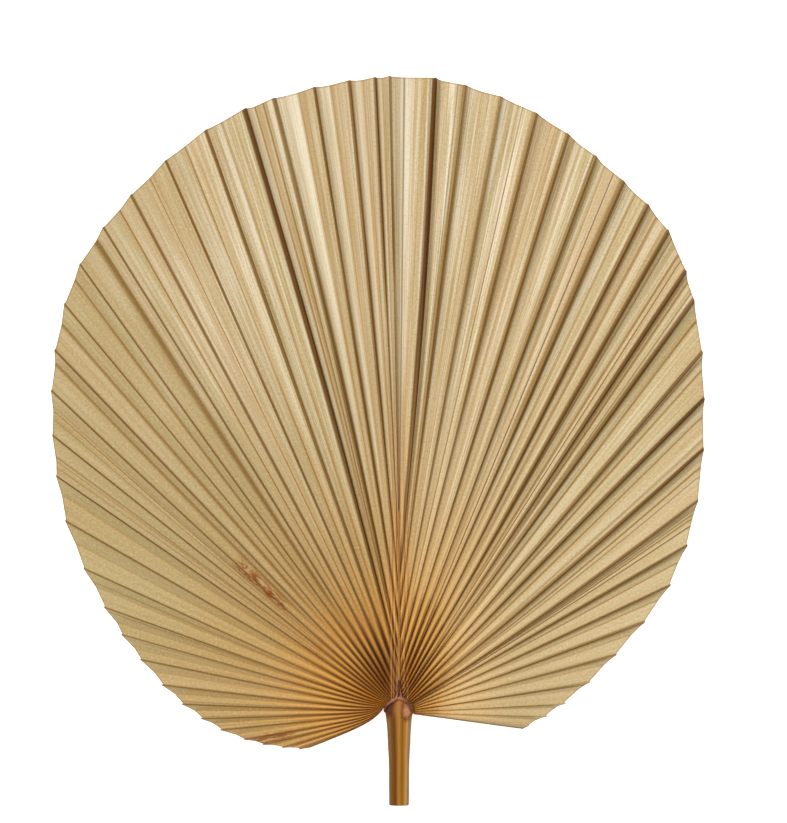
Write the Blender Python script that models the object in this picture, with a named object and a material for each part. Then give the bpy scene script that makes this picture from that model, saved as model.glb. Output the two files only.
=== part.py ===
"""A dried fan palm leaf, trimmed round its rim, lying with its upper face up.

The tip of the fan points to +Y and the cut stalk to -Y. Three solids are built:
the pleated blade, the stalk with the midrib that it carries on under the blade,
and the hard crest over the place where the two meet.

Lengths are in millimetres and angles in degrees, clockwise from the tip as seen
from above. The hub, where the midrib leaves the stalk, is the origin until the
points go into the meshes, in metres, with the whole leaf centred on the axes.
"""

import math
import random
from collections import namedtuple

import bmesh
import bpy
from mathutils import Vector

MM = 0.001
SEED = 11

# Rim of the blade: angle at the hub, and distance from it.
RIM = (
    (-119.0, 58.5), (-112.0, 73.5), (-104.0, 93.5), (-94.4, 117.0), (-82.6, 147.5),
    (-72.7, 178.5), (-63.4, 213.5), (-53.0, 252.0), (-43.9, 287.0), (-36.8, 311.5),
    (-28.1, 331.0), (-17.8, 350.0), (-8.7, 357.5), (1.7, 361.0), (7.4, 356.5),
    (12.9, 349.5), (22.2, 330.0), (30.1, 313.0), (35.8, 291.0), (46.9, 243.0),
    (57.4, 205.0), (66.6, 172.5), (78.3, 129.0), (91.2, 95.5), (97.0, 84.5),
    (101.0, 77.0), (104.0, 74.0),
)
LEFT_EDGE = RIM[0][0]
RIGHT_EDGE = RIM[-1][0]

# Angles at which each pleat's crown, and the furrow after it, reach the rim.
PLEATS = (
    (-116.7, -114.7), (-112.7, -110.7), (-108.6, -106.7), (-104.7, -102.7),
    (-99.9, -97.9), (-95.8, -93.7), (-91.5, -89.1), (-86.8, -84.2), (-81.5, -79.7),
    (-77.1, -75.3), (-72.9, -70.2), (-67.7, -64.8), (-62.1, -59.2), (-57.1, -55.6),
    (-52.9, -50.5), (-48.6, -45.9), (-44.8, -42.2), (-40.4, -37.9), (-36.4, -33.6),
    (-32.2, -29.9), (-28.1, -25.7), (-23.5, -21.3), (-18.8, -17.2), (-14.6, -13.8),
    (-11.8, -9.5), (-7.9, -6.4), (-4.6, -3.4), (-2.2, -1.6), (-0.9, 1.5), (3.4, 4.1),
    (6.2, 7.9), (9.6, 11.4), (13.2, 15.0), (16.7, 18.3), (20.0, 21.2), (23.5, 25.2),
    (26.8, 28.3), (30.0, 32.4), (34.0, 34.9), (36.6, 38.4), (41.4, 42.9), (45.7, 47.4),
    (50.9, 52.8), (56.7, 58.8), (62.2, 64.4), (67.5, 69.6), (72.9, 75.1), (78.8, 81.0),
    (85.2, 87.5), (91.7, 93.7), (96.8, 99.0), (101.8, RIGHT_EDGE),
)
# Folds that rise or drop further than the others, by how much.
DEEPER = {-57.1: 1.3, -42.2: 1.2, -33.6: 1.4, -14.6: 1.5, 3.4: 1.5}

# Crowns that bow on their way to the rim, and how far to the right as seen from the hub.
BOWED_CROWNS = {
    -48.6: -1.3, -36.4: -0.8, -14.6: 1.9, -11.8: 2.2, 3.4: 2.4,
    45.7: -1.0, 50.9: 1.6, 56.7: 2.0,
}

# The folds fan out from a circle round the stalk, and above it from the midrib.
COLLAR_Y = -8.5
COLLAR_RADIUS = 8.5
SLOT_HALF = 0.95
MIDRIB_RISE = 102.0
MIDRIB_FADE = 10.8

# The sheet and its pleats: the depth grows with the width of a pleat up to a limit, and
# teeth grow from the tip to the sides, with a notch just inside each.
BLADE_THICKNESS = 0.66
PLEAT_DEPTH = 5.4
PLEAT_GROWTH = 1.5
ROWS = 13
ROW_CROWDING = 1.55
RIM_BAND = 7.0
RIM_BAND_LIMIT = 0.2
TOOTH_AT_TIP = 0.2
TOOTH_AT_SIDE = 2.0
NOTCH_STEP = 0.35
NOTCH_DEPTH = 0.2

# Least and most of each random share: of a crown's rise, a furrow's drop, a tooth's length.
CROWN_SHARES = (0.8, 1.1)
FURROW_SHARES = (0.8, 1.05)
TOOTH_SHARES = (0.5, 1.3)
EDGE_DROP = 0.7

# Height of the middle of the sheet at the hub, and at the rim where it touches the floor.
HUB_HEIGHT = 7.6
REST_HEIGHT = 3.6
REST_ANGLE = 35.0
RIM_LIFT = 8.0

# Stalk stations: distance along Y, half width, height of the underside and of the shoulder.
STALK = (
    (-62.9, 5.9, 1.5, 6.3), (-52.0, 6.0, 1.1, 6.6), (-42.0, 6.0, 0.7, 6.9),
    (-34.0, 6.3, 0.3, 7.1), (-27.0, 6.7, 0.0, 7.3), (-20.0, 7.0, 0.0, 7.5),
    (-14.0, 7.5, 0.0, 7.6), (COLLAR_Y, 8.0, 0.0, 7.6),
)

# A stalk section rises by its crown above the shoulder. Its underside is flat at most
# this far out, its sides bulge to these shares of half width and depth, and the upper
# side, the shoulder and the top are these shares of the half width out.
STALK_CROWN = 1.0
CROWN_SIDE = 0.45
FLAT_HALF = 2.4
FLAT_SHARE = 0.4
SIDE_SHARES = ((0.78, 0.16), (1.0, 0.5))
SHOULDER_SHARE = 0.96
SHOULDER_STEP = 0.1
UPPER_SHARE = 0.9
TOP_SHARE = 0.5

# The head, the midrib that shows in the slot of the blade, and the keel under it.
HEAD_RADIUS = 8.1
HEAD_SHARE = 0.94
HEAD_TURNS = (24.0, 44.0, 60.0, 72.0, 80.0)
RIB_HALF = 0.6
RIB_LENGTH = 108.0
RIB_RISE = 0.9
RIB_EDGE = 0.25
RIB_STEPS = 8
KEEL_HALF_HUB = 7.2
KEEL_HALF_TIP = 1.2
KEEL_DEPTH_TIP = 1.3
KEEL_CLEARANCE = 1.9
KEEL_CLEARANCE_GROWTH = 0.022

# The crest: an arch between two circles round the stalk, and a tongue up the midrib, which
# has narrowed to a share of its half width at a share of its length.
CREST_BASE = 9.28
CREST_HEIGHT = 1.5
CREST_INNER = 7.1
CREST_OUTER = 9.4
CREST_LEFT = -78.0
CREST_RIGHT = 92.0
CREST_STEP = 8.5
CREST_BEVEL = 0.5
TONGUE_LENGTH = 10.5
TONGUE_HALF = 1.5
TONGUE_NARROWS = (0.45, 0.75)
SHARPEST_INSET = 0.5

Fold = namedtuple("Fold", "angle side depth reach bow")


def smoothstep(value):
    value = min(max(value, 0.0), 1.0)
    return value * value * (3.0 - 2.0 * value)


def polar(angle, radius):
    turn = math.radians(angle)
    return Vector((radius * math.sin(turn), radius * math.cos(turn)))


def rim_radius(angle):
    """Smooth curve through the rim points, with slopes taken from the neighbours."""
    last = len(RIM) - 1
    at = 0
    while at < last - 1 and RIM[at + 1][0] < angle:
        at += 1
    slopes = []
    for index in (at, at + 1):
        before = RIM[max(index - 1, 0)]
        after = RIM[min(index + 1, last)]
        slopes.append((after[1] - before[1]) / (after[0] - before[0]))
    span = RIM[at + 1][0] - RIM[at][0]
    share = (angle - RIM[at][0]) / span
    ease = smoothstep(share)
    radius = RIM[at][1] * (1.0 - ease) + RIM[at + 1][1] * ease
    radius += slopes[0] * span * share * (1.0 - share) ** 2
    radius -= slopes[1] * span * share * share * (1.0 - share)
    return radius


def leaf_folds():
    """Furrows (side -1) and crowns (side 1) in turn, from the left edge to the right."""
    chance = random.Random(SEED)
    folds = [Fold(LEFT_EDGE, -1, EDGE_DROP, 0.0, 0.0)]
    for crown, furrow in PLEATS:
        beside = math.sin(math.radians(min(abs(crown), 90.0))) ** 2
        tooth = TOOTH_AT_TIP + (TOOTH_AT_SIDE - TOOTH_AT_TIP) * beside
        rise = chance.uniform(*CROWN_SHARES) * DEEPER.get(crown, 1.0)
        reach = tooth * chance.uniform(*TOOTH_SHARES)
        folds.append(Fold(crown, 1, rise, reach, BOWED_CROWNS.get(crown, 0.0)))
        drop = chance.uniform(*FURROW_SHARES) * DEEPER.get(furrow, 1.0)
        folds.append(Fold(furrow, -1, drop, 0.0, 0.0))
    return folds


def fold_start(end, angle):
    """First point of the fold towards end that is clear of the midrib and the stalk."""
    rise = MIDRIB_RISE * math.exp(-abs(angle) / MIDRIB_FADE)
    source = Vector((0.0, COLLAR_Y + rise))
    way = end - source
    past_rib = SLOT_HALF / abs(way.x)
    square = way.dot(way)
    along = rise * way.y
    inside = along * along - square * (rise * rise - COLLAR_RADIUS ** 2)
    past_collar = (math.sqrt(inside) - along) / square if inside > 0.0 else 0.0
    return source + way * max(past_rib, past_collar)


def fold_line(fold):
    """Points of the fold in plan, close together at the hub, with a narrow last row."""
    end = polar(fold.angle, rim_radius(fold.angle) + fold.reach)
    start = fold_start(end, fold.angle)
    band = min(RIM_BAND / (end - start).length, RIM_BAND_LIMIT)
    shares = [(1.0 - band) * (row / (ROWS - 1)) ** ROW_CROWDING for row in range(ROWS)]
    sideways = Vector((end.y - start.y, start.x - end.x)).normalized()
    line = []
    for share in shares + [1.0]:
        bow = sideways * (fold.bow * math.sin(math.pi * share))
        line.append(start.lerp(end, share) + bow)
    return line


def leaf_lines(folds):
    """Lines of all folds; a furrow starts midway between the crowns on both sides of it."""
    lines = [fold_line(fold) for fold in folds]
    for column in range(2, len(folds) - 1, 2):
        before, after = folds[column - 1].angle, folds[column + 1].angle
        if before < 0.0 < after:
            continue
        at_rim = (folds[column].angle - before) / (after - before)
        for row in range(ROWS):
            share = 0.5 + (at_rim - 0.5) * row / ROWS
            crowns = lines[column - 1][row], lines[column + 1][row]
            lines[column][row] = crowns[0].lerp(crowns[1], share)
    return lines


def mid_height(point, angle):
    """Middle of the sheet: level at the hub, and down to the floor at two rim angles."""
    lift = RIM_LIFT * math.sin(math.radians(abs(angle) - REST_ANGLE)) ** 2
    share = smoothstep(point.length / rim_radius(angle))
    return HUB_HEIGHT + (REST_HEIGHT + lift - HUB_HEIGHT) * share


def distance_to(line, row, point):
    """Distance in plan from the point to a neighbouring fold, near the same row."""
    at = min(max(row, 1), len(line) - 2)
    way = (line[at + 1] - line[at - 1]).normalized()
    return abs(way.cross(point - line[row]))


def pleated_sheet(folds):
    """Points of the sheet by (column, row), as (x, y, height, upright thickness)."""
    lines = leaf_lines(folds)
    beside = []
    heights = []
    for column, line in enumerate(lines):
        near = [index for index in (column - 1, column + 1) if 0 <= index < len(lines)]
        beside.append(near)
        fold = folds[column]
        for_column = []
        for row, point in enumerate(line):
            away = [distance_to(lines[index], row, point) for index in near]
            half_pleat = sum(away) / len(away)
            rise = PLEAT_DEPTH * (1.0 - math.exp(-PLEAT_GROWTH * half_pleat / PLEAT_DEPTH))
            offset = fold.side * fold.depth * rise / 2.0
            for_column.append(mid_height(point, fold.angle) + offset)
        heights.append(for_column)
    sheet = {}
    for column, line in enumerate(lines):
        for row, point in enumerate(line):
            slope = 0.0
            for index in beside[column]:
                fall = abs(heights[index][row] - heights[column][row])
                slope = max(slope, fall / distance_to(lines[index], row, point))
            thickness = BLADE_THICKNESS * math.hypot(1.0, slope)
            sheet[column, row] = (point.x, point.y, heights[column][row], thickness)
    return sheet


def crown_notch(folds, column):
    """The crown whose rim notch lies between this fold and the next, or None.

    The trimmed edge steps out at each crown, and the notch is on the tip's side of it.
    """
    crown = column if folds[column].side > 0 else column + 1
    notched = crown == column if folds[crown].angle < 0.0 else crown != column
    return crown if notched else None


def add_notches(folds, sheet):
    """Rim points just inside each crown's tooth, kept as (column, "notch")."""
    for column in range(len(folds) - 1):
        crown = crown_notch(folds, column)
        if crown is None:
            continue
        furrow = column + 1 if crown == column else column
        span = folds[furrow].angle - folds[crown].angle
        share = NOTCH_STEP / abs(span)
        angle = folds[crown].angle + span * share
        place = polar(angle, rim_radius(angle) - folds[crown].reach * NOTCH_DEPTH)
        root = sheet[crown, ROWS]
        other = sheet[furrow, ROWS]
        height = root[2] + (other[2] - root[2]) * share
        sheet[column, "notch"] = (place.x, place.y, height, max(root[3], other[3]))


def sheet_cells(folds, sheet):
    """Corners of each cell, counter-clockwise from the one that its triangles share."""
    cells = []
    for column in range(len(folds) - 1):
        for row in range(ROWS):
            low_left = (column, row)
            low_right = (column + 1, row)
            high_right = (column + 1, row + 1)
            high_left = (column, row + 1)
            cell = [low_left, low_right, high_right, high_left]
            if row == ROWS - 1 and (column, "notch") in sheet:
                cell.insert(3, (column, "notch"))
            if crown_notch(folds, column) != column:
                cell = cell[1:] + cell[:1]
            cells.append(cell)
    return cells


def sheet_border(folds, sheet):
    """Counter-clockwise round the sheet: right edge, rim, left edge and hub."""
    last = len(folds) - 1
    border = [(last, row) for row in range(ROWS)]
    for column in range(last, -1, -1):
        border.append((column, ROWS))
        if (column - 1, "notch") in sheet:
            border.append((column - 1, "notch"))
    border += [(0, row) for row in range(ROWS - 1, -1, -1)]
    border += [(column, 0) for column in range(1, last)]
    return border


def blade_mesh(shape):
    """The pleated sheet, with the same triangles on both faces."""
    folds = leaf_folds()
    sheet = pleated_sheet(folds)
    add_notches(folds, sheet)
    lowest = min(height - thickness / 2.0 for x, y, height, thickness in sheet.values())
    upper = {}
    lower = {}
    for key, (x, y, height, thickness) in sheet.items():
        reach = smoothstep(math.hypot(x, y) / rim_radius(math.degrees(math.atan2(x, y))))
        height -= lowest * reach
        upper[key] = add_point(shape, x, y, height + thickness / 2.0)
        lower[key] = add_point(shape, x, y, height - thickness / 2.0)
    for cell in sheet_cells(folds, sheet):
        for index in range(1, len(cell) - 1):
            corners = (cell[0], cell[index], cell[index + 1])
            shape.faces.new([upper[key] for key in corners])
            shape.faces.new([lower[key] for key in reversed(corners)])
    border = sheet_border(folds, sheet)
    for key, following in zip(border, border[1:] + border[:1]):
        shape.faces.new((upper[key], lower[key], lower[following]))
        shape.faces.new((upper[key], lower[following], upper[following]))


def keel_shoulder(y):
    """Top of the keel, clear of the lowest furrows beside the midrib."""
    middle = mid_height(Vector((0.0, y)), 0.0)
    return middle - KEEL_CLEARANCE - KEEL_CLEARANCE_GROWTH * max(y, 0.0)


def stalk_section(half, under, shoulder, upper_half, upper_side, top):
    """Right half of a section, from the middle of the underside to that of the top."""
    depth = shoulder - under
    flat = min(FLAT_HALF, half * FLAT_SHARE)
    sides = [(half * out, under + depth * up) for out, up in SIDE_SHARES]
    return [
        (flat, under),
        *sides,
        (half * SHOULDER_SHARE, shoulder),
        (upper_half, shoulder + SHOULDER_STEP),
        (upper_half, upper_side),
        (upper_half * TOP_SHARE, top),
    ]


def stalk_sections():
    """Sections from the cut end, through the head, to the end of the midrib."""
    sections = []
    for y, half, under, shoulder in STALK:
        side = shoulder + STALK_CROWN * CROWN_SIDE
        top = shoulder + STALK_CROWN
        upper = half * UPPER_SHARE if y < COLLAR_Y else HEAD_RADIUS * HEAD_SHARE
        sections.append((y, stalk_section(half, under, shoulder, upper, side, top)))
    head_side = STALK[-1][3] + STALK_CROWN * CROWN_SIDE
    head_top = STALK[-1][3] + STALK_CROWN
    rib_foot = COLLAR_Y + math.sqrt(HEAD_RADIUS ** 2 - RIB_HALF ** 2)
    for turn in HEAD_TURNS:
        y = COLLAR_Y + HEAD_RADIUS * math.sin(math.radians(turn))
        upper = HEAD_RADIUS * math.cos(math.radians(turn))
        sections.append((y, keel_section(y, upper, head_side, head_top)))
    for step in range(RIB_STEPS + 1):
        share = step / RIB_STEPS
        y = rib_foot + (RIB_LENGTH - rib_foot) * share
        top = mid_height(Vector((0.0, y)), 0.0) + RIB_RISE * (1.0 - share)
        sections.append((y, keel_section(y, RIB_HALF, top - RIB_EDGE, top)))
    return sections


def keel_section(y, upper_half, upper_side, top):
    share = max(y - COLLAR_Y, 0.0) / (RIB_LENGTH - COLLAR_Y)
    half = KEEL_HALF_HUB + (KEEL_HALF_TIP - KEEL_HALF_HUB) * share
    shoulder = keel_shoulder(y)
    under = (shoulder - KEEL_DEPTH_TIP) * smoothstep(share)
    return stalk_section(half, under, shoulder, upper_half, upper_side, top)


def stalk_mesh(shape):
    """Sections joined one to the next, and closed at both ends."""
    rings = []
    for y, right in stalk_sections():
        left = [(-x, z) for x, z in reversed(right)]
        rings.append([add_point(shape, x, y, z) for x, z in right + left])
    for ring, following in zip(rings, rings[1:]):
        for index in range(len(ring)):
            after = (index + 1) % len(ring)
            a, b = ring[index], ring[after]
            c, d = following[after], following[index]
            shape.faces.new((a, b, c))
            shape.faces.new((a, c, d))
    for end in (rings[0], rings[-1]):
        half = len(end) // 2
        for index in range(half - 1):
            opposite = len(end) - 1 - index
            shape.faces.new((end[index], end[index + 1], end[opposite - 1], end[opposite]))


def crest_outline():
    """Outline of the crest in plan: an arch over the stalk head, with a short tongue."""
    centre = Vector((0.0, COLLAR_Y))
    turns = []
    turn = CREST_LEFT
    while turn < CREST_RIGHT + 0.1:
        turns.append(turn)
        turn += CREST_STEP
    foot = math.degrees(math.asin(TONGUE_HALF / CREST_OUTER))
    narrow = Vector((TONGUE_HALF * TONGUE_NARROWS[0], TONGUE_LENGTH * TONGUE_NARROWS[1]))
    outer = [centre + polar(turn, CREST_OUTER) for turn in turns if turn < -foot]
    outer.append(centre + polar(-foot, CREST_OUTER))
    outer.append(Vector((-narrow.x, narrow.y)))
    outer.append(Vector((0.0, TONGUE_LENGTH)))
    outer.append(narrow)
    outer.append(centre + polar(foot, CREST_OUTER))
    outer += [centre + polar(turn, CREST_OUTER) for turn in turns if turn > foot]
    inner = [centre + polar(turn, CREST_INNER) for turn in reversed(turns)]
    return outer + inner


def inset(outline, width):
    """The outline moved inwards, with its points running clockwise."""
    moved = []
    for index, point in enumerate(outline):
        before = (point - outline[index - 1]).normalized()
        after = (outline[(index + 1) % len(outline)] - point).normalized()
        inwards = Vector((before.y + after.y, -before.x - after.x))
        inwards.normalize()
        square = max(inwards.dot(Vector((before.y, -before.x))), SHARPEST_INSET)
        moved.append(point + inwards * (width / square))
    return moved


def crest_mesh(shape):
    outline = crest_outline()
    levels = (
        (CREST_BASE, outline),
        (CREST_BASE + CREST_HEIGHT - CREST_BEVEL, outline),
        (CREST_BASE + CREST_HEIGHT, inset(outline, CREST_BEVEL)),
    )
    rings = []
    for height, points in levels:
        rings.append([add_point(shape, point.x, point.y, height) for point in points])
    for ring, following in zip(rings, rings[1:]):
        for index in range(len(ring)):
            after = (index + 1) % len(ring)
            a, b = ring[index], ring[after]
            c, d = following[after], following[index]
            shape.faces.new((a, b, c))
            shape.faces.new((a, c, d))
    shape.faces.new(rings[0])
    shape.faces.new(rings[-1])


def add_point(shape, x, y, z):
    return shape.verts.new(((x - MIDDLE_X) * MM, (y - MIDDLE_Y) * MM, z * MM))


def make_object(name, build, colour, roughness):
    mesh = bpy.data.meshes.new(name)
    shape = bmesh.new()
    build(shape)
    bmesh.ops.recalc_face_normals(shape, faces=shape.faces)
    shape.to_mesh(mesh)
    shape.free()
    material = bpy.data.materials.new(name)
    material.use_nodes = True
    shader = material.node_tree.nodes["Principled BSDF"]
    shader.inputs["Base Color"].default_value = (*colour, 1.0)
    shader.inputs["Roughness"].default_value = roughness
    material.diffuse_color = (*colour, 1.0)
    mesh.materials.append(material)
    made = bpy.data.objects.new(name, mesh)
    bpy.context.scene.collection.objects.link(made)


for old in list(bpy.data.objects):
    bpy.data.objects.remove(old, do_unlink=True)

ends = [line[-1] for line in leaf_lines(leaf_folds())]
MIDDLE_X = (min(end.x for end in ends) + max(end.x for end in ends)) / 2.0
MIDDLE_Y = (STALK[0][0] + max(end.y for end in ends)) / 2.0

make_object("leaf_blade", blade_mesh, (0.64, 0.50, 0.29), 0.55)
make_object("leaf_stalk", stalk_mesh, (0.42, 0.27, 0.11), 0.5)
make_object("leaf_crest", crest_mesh, (0.33, 0.14, 0.08), 0.5)
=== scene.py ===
"""Looks of a dried fan palm leaf, lying with its upper face up, on a white floor.

Lengths are in millimetres and angles in degrees, clockwise from the tip of the fan
as seen from above, both taken at the hub, where the stalk meets the blade.
"""

import math
import random
from collections import namedtuple

import bpy
import numpy as np
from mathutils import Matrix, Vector


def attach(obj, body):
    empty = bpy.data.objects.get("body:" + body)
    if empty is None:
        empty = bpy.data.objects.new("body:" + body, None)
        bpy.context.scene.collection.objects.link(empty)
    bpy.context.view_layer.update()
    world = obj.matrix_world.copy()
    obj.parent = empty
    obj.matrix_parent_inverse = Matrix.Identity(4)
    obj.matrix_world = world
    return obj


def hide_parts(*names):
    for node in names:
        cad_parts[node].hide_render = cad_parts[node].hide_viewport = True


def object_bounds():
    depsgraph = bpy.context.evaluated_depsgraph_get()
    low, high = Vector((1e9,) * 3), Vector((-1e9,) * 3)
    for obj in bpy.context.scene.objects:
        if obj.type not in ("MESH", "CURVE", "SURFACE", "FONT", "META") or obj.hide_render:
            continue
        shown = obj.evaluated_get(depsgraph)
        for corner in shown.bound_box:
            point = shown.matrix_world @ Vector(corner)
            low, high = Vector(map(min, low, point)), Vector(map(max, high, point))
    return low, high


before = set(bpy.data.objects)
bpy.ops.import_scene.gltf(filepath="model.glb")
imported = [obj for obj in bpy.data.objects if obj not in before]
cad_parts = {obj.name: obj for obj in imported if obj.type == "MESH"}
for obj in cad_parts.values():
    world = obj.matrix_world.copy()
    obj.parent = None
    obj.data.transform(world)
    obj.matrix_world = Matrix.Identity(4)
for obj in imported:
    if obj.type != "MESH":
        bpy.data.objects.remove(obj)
cad_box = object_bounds()


# The blade: one pleated fan of dried, straw-coloured leaf, thin and stiff. It grew as a
# single sheet, folded up and down along ribs that fan out from the hub, and its rim was
# cut with shears while it was folded, so that each pleat ends in a small tooth.

MM = 0.001
RIM = (
    (-119.0, 58.5), (-112.0, 73.5), (-104.0, 93.5), (-94.4, 117.0), (-82.6, 147.5),
    (-72.7, 178.5), (-63.4, 213.5), (-53.0, 252.0), (-43.9, 287.0), (-36.8, 311.5),
    (-28.1, 331.0), (-17.8, 350.0), (-8.7, 357.5), (1.7, 361.0), (7.4, 356.5),
    (12.9, 349.5), (22.2, 330.0), (30.1, 313.0), (35.8, 291.0), (46.9, 243.0),
    (57.4, 205.0), (66.6, 172.5), (78.3, 129.0), (91.2, 95.5), (97.0, 84.5),
    (101.0, 77.0), (104.0, 74.0),
)
PLEATS = (
    (-116.7, -114.7), (-112.7, -110.7), (-108.6, -106.7), (-104.7, -102.7),
    (-99.9, -97.9), (-95.8, -93.7), (-91.5, -89.1), (-86.8, -84.2), (-81.5, -79.7),
    (-77.1, -75.3), (-72.9, -70.2), (-67.7, -64.8), (-62.1, -59.2), (-57.1, -55.6),
    (-52.9, -50.5), (-48.6, -45.9), (-44.8, -42.2), (-40.4, -37.9), (-36.4, -33.6),
    (-32.2, -29.9), (-28.1, -25.7), (-23.5, -21.3), (-18.8, -17.2), (-14.6, -13.8),
    (-11.8, -9.5), (-7.9, -6.4), (-4.6, -3.4), (-2.2, -1.6), (-0.9, 1.5), (3.4, 4.1),
    (6.2, 7.9), (9.6, 11.4), (13.2, 15.0), (16.7, 18.3), (20.0, 21.2), (23.5, 25.2),
    (26.8, 28.3), (30.0, 32.4), (34.0, 34.9), (36.6, 38.4), (41.4, 42.9), (45.7, 47.4),
    (50.9, 52.8), (56.7, 58.8), (62.2, 64.4), (67.5, 69.6), (72.9, 75.1), (78.8, 81.0),
    (85.2, 87.5), (91.7, 93.7), (96.8, 99.0), (101.8, RIM[-1][0]),
)
DEEPER = {-57.1: 1.3, -42.2: 1.2, -33.6: 1.4, -14.6: 1.5, 3.4: 1.5}
BOWED_CROWNS = {
    -48.6: -1.3, -36.4: -0.8, -14.6: 1.9, -11.8: 2.2, 3.4: 2.4,
    45.7: -1.0, 50.9: 1.6, 56.7: 2.0,
}
TEETH = ((-119.0, 1.9), (-80.0, 1.8), (-62.0, 0.8), (-20.0, 0.4), (0.0, 0.18), (20.0, 0.4),
         (50.0, 0.8), (75.0, 1.7), (104.0, 1.9))
FOLD_SEED = 11
EDGE_DROP = 0.7
CROWN_SHARES = (0.8, 1.1)
TOOTH_SHARES = (0.5, 1.3)
FURROW_SHARES = (0.8, 1.05)
COLLAR_Y = -8.5
COLLAR_RADIUS = 8.5
SLOT_HALF = 0.62
MIDRIB_RISE = 102.0
MIDRIB_FADE = 10.8
BLADE_THICKNESS = 0.66
PLEAT_DEPTH = 5.4
PLEAT_GROWTH = 1.5
HUB_HEIGHT = 7.6
REST_HEIGHT = 3.6
REST_ANGLE = 35.0
RIM_LIFT = 8.0
STALK_END = -62.9
ROWS = 70
ROW_CROWDING = 1.3
NOTCH_DEPTH = 0.8
NOTCH_POWER = 14
SMALLEST_STEP = 0.02
STEEPEST = 1.6
MM_PER_TENTH = 100.0

# Places across a facet from its crown to its furrow, and how far it has fallen there
# where it drops in a step below a pinched crown; elsewhere it falls evenly. The shares
# say how much of that step the pleats have, by the angle of their crown.
FACET_PLACES = (0.0, 0.1, 0.25, 0.42, 0.5, 0.72, 1.0)
STEP_FALL = (0.0, 0.19, 0.47, 0.74, 0.82, 0.91, 1.0)
STEP_SHARES = ((-119.0, 0.2), (-76.0, 0.0), (-50.0, 0.0), (-22.0, 0.1), (-12.0, 1.0),
               (70.0, 1.0), (95.0, 0.5), (104.0, 0.4))
SHADE_TURNS_AT = -50.0

# How dark the lines on the crowns and in the furrows are, by angle: on the crowns brown
# lines that also paint the shade below them, in the furrows painted shade.
CROWN_MARKS = ((-119.0, 0.5), (-80.0, 0.5), (-50.0, 0.65), (-25.0, 0.6), (-15.0, 0.7),
               (-0.9, 0.45), (3.4, 0.75), (6.2, 0.3), (25.0, 0.35), (35.0, 0.8), (55.0, 1.0),
               (75.0, 0.6), (90.0, 0.3), (104.0, 0.25))
FURROW_MARKS = ((-119.0, 0.05), (-58.0, 0.1), (-50.0, 0.35), (-20.0, 0.3), (-5.0, 0.12),
                (20.0, 0.15), (35.0, 0.35), (60.0, 0.35), (75.0, 0.15), (104.0, 0.05))
USUAL_LINE = ((-119.0, 0.8), (-60.0, 0.8), (-25.0, 1.1), (-15.0, 1.7), (0.0, 2.1), (30.0, 2.1),
              (45.0, 1.4), (60.0, 1.0), (80.0, 0.9), (104.0, 0.8))
FURROW_LINE_SHARE = 0.5
MARK_SEED = 3
MARK_SHARES = (0.75, 1.15)
HALF_SHARES = (0.8, 1.15)
LINE_HALVES = {
    -57.1: 0.8, -45.9: 1.4, -42.2: 1.4, -37.9: 1.2, -33.6: 2.6, -14.6: 2.0, -7.9: 1.1, -4.6: 1.4,
    -2.2: 1.3, -0.9: 1.1, 3.4: 2.1,
}
# The folds at the lower left start higher on the collar than they point, and bend down.
GATHERED_FROM = -40.0
GATHERED_SHARE = 0.5
GATHERED_FADE = 7.0
CREASE_ANGLE = 40.0

Fold = namedtuple("Fold", "angle side depth reach bow")


def smoothstep(value):
    value = np.clip(value, 0.0, 1.0)
    return value * value * (3.0 - 2.0 * value)


def polar(angle, radius):
    turn = math.radians(angle)
    return np.array((radius * math.sin(turn), radius * math.cos(turn)))


def rim_radius(angle):
    """Smooth curve through the rim points, with slopes taken from the neighbours."""
    last = len(RIM) - 1
    at = 0
    while at < last - 1 and RIM[at + 1][0] < angle:
        at += 1
    slopes = []
    for index in (at, at + 1):
        before = RIM[max(index - 1, 0)]
        after = RIM[min(index + 1, last)]
        slopes.append((after[1] - before[1]) / (after[0] - before[0]))
    span = RIM[at + 1][0] - RIM[at][0]
    share = (angle - RIM[at][0]) / span
    ease = smoothstep(share)
    radius = RIM[at][1] * (1.0 - ease) + RIM[at + 1][1] * ease
    radius += slopes[0] * span * share * (1.0 - share) ** 2
    radius -= slopes[1] * span * share * share * (1.0 - share)
    return radius


def by_angle(angle, stops):
    return np.interp(angle, [stop[0] for stop in stops], [stop[1] for stop in stops])


def leaf_folds():
    """Furrows (side -1) and crowns (side 1) in turn, from the left edge to the right."""
    chance = random.Random(FOLD_SEED)
    folds = [Fold(RIM[0][0], -1, EDGE_DROP, 0.0, 0.0)]
    for crown, furrow in PLEATS:
        tooth = by_angle(crown, TEETH)
        rise = chance.uniform(*CROWN_SHARES) * DEEPER.get(crown, 1.0)
        reach = tooth * chance.uniform(*TOOTH_SHARES)
        folds.append(Fold(crown, 1, rise, reach, BOWED_CROWNS.get(crown, 0.0)))
        drop = chance.uniform(*FURROW_SHARES) * DEEPER.get(furrow, 1.0)
        folds.append(Fold(furrow, -1, drop, 0.0, 0.0))
    return folds


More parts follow.
